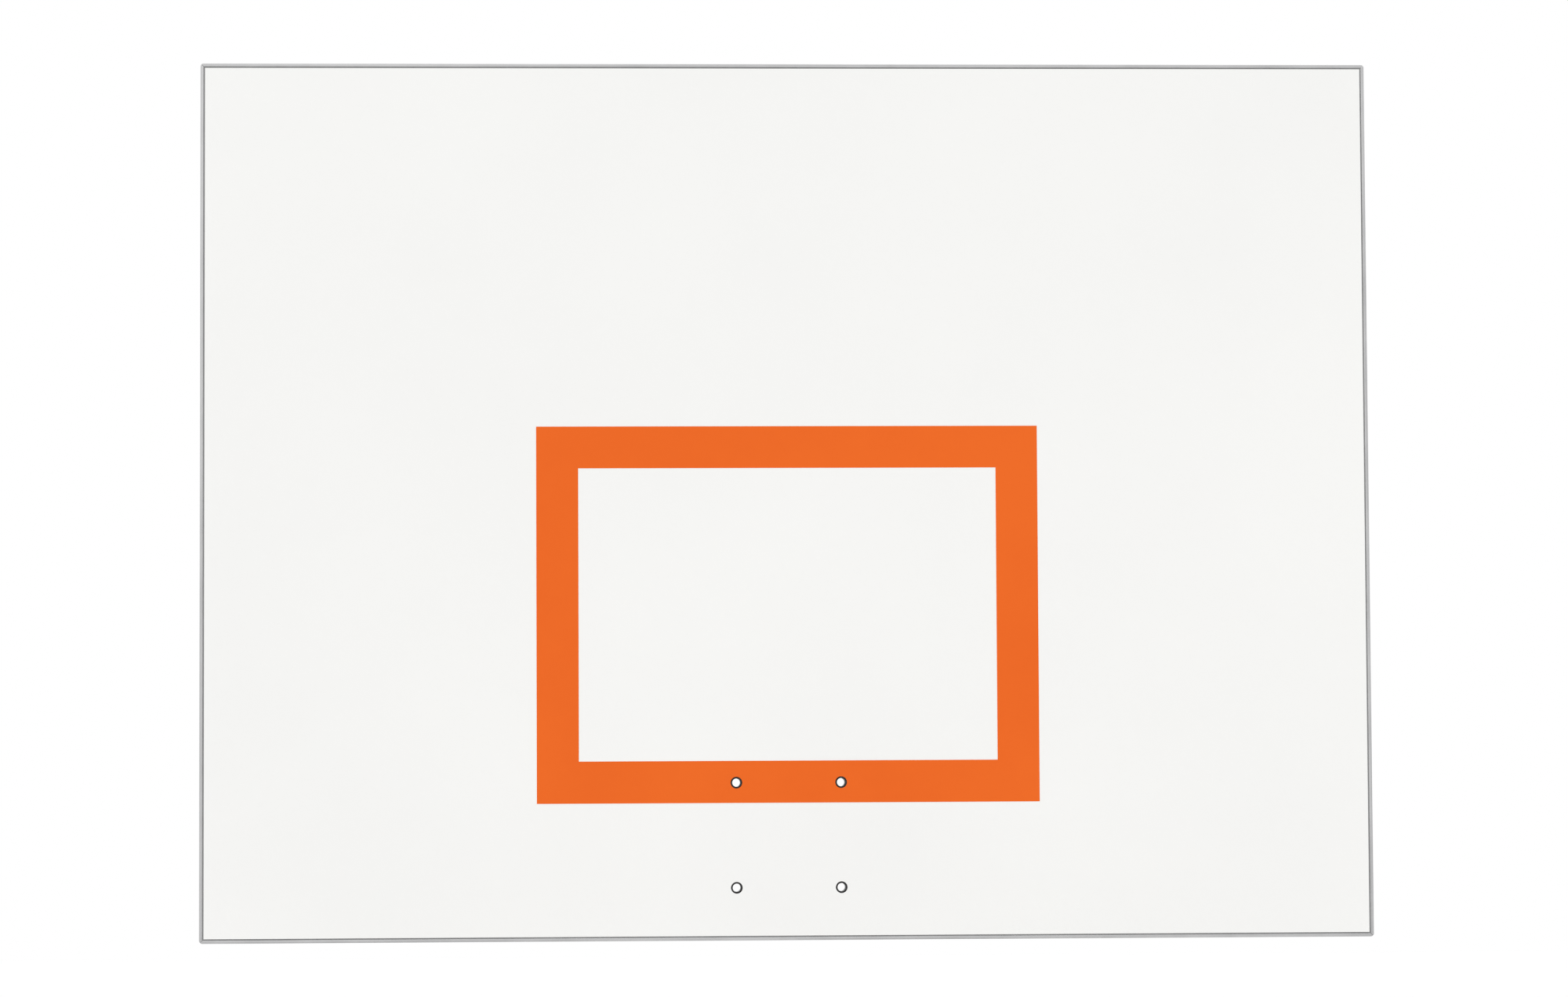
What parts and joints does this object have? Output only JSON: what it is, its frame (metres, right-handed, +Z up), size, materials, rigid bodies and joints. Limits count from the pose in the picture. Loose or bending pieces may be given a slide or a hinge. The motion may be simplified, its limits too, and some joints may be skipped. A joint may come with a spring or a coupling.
{
  "type": "basketball backboard",
  "caption": "Flat rectangular basketball backboard with a white playing face, orange target border, thin grey edge frame, rim bolt holes and rear mounting rails.",
  "frame": {"origin": "centre of the four rear mounting holes, on the back face of the rails", "axes": "+X to the right as seen from the court, +Y out of the back towards the support, +Z up"},
  "size_m": [1.4224, 0.0503, 1.0668],
  "materials": {
    "white_laminate": "satin",
    "plywood": "raw",
    "backer_laminate": "matte",
    "orange_film": "satin",
    "grey_seal": "matte",
    "frame_aluminium": "mill finish",
    "zinc_steel": "galvanised",
    "black_rubber": "matte",
    "zinc_fasteners": "bright zinc",
    "dark_steel": "blackened"
  },
  "bodies": {
    "root": {"face_sheet": "white_laminate", "core_board": "plywood", "back_sheet": "backer_laminate", "target_border": "orange_film", "edge_seal": "grey_seal", "frame_top": "frame_aluminium", "frame_bottom": "frame_aluminium", "frame_left": "frame_aluminium", "frame_right": "frame_aluminium", "corner_plate_top_left": "zinc_steel", "corner_plate_top_right": "zinc_steel", "corner_plate_bottom_left": "zinc_steel", "corner_plate_bottom_right": "zinc_steel", "upper_rail": "zinc_steel", "lower_rail": "zinc_steel", "upper_rail_pads": "black_rubber", "lower_rail_pads": "black_rubber", "mount_nuts": "zinc_fasteners", "rim_bracket": "zinc_steel", "rim_sleeves": "dark_steel", "frame_screws": "zinc_fasteners", "corner_screws": "zinc_fasteners", "rail_screws": "zinc_fasteners", "rail_bolts": "zinc_fasteners", "rail_washers": "zinc_fasteners", "rail_nuts": "zinc_fasteners", "bracket_bolts": "zinc_fasteners", "bracket_washers": "zinc_fasteners", "bracket_nuts": "zinc_fasteners"}
  },
  "joints": []
}
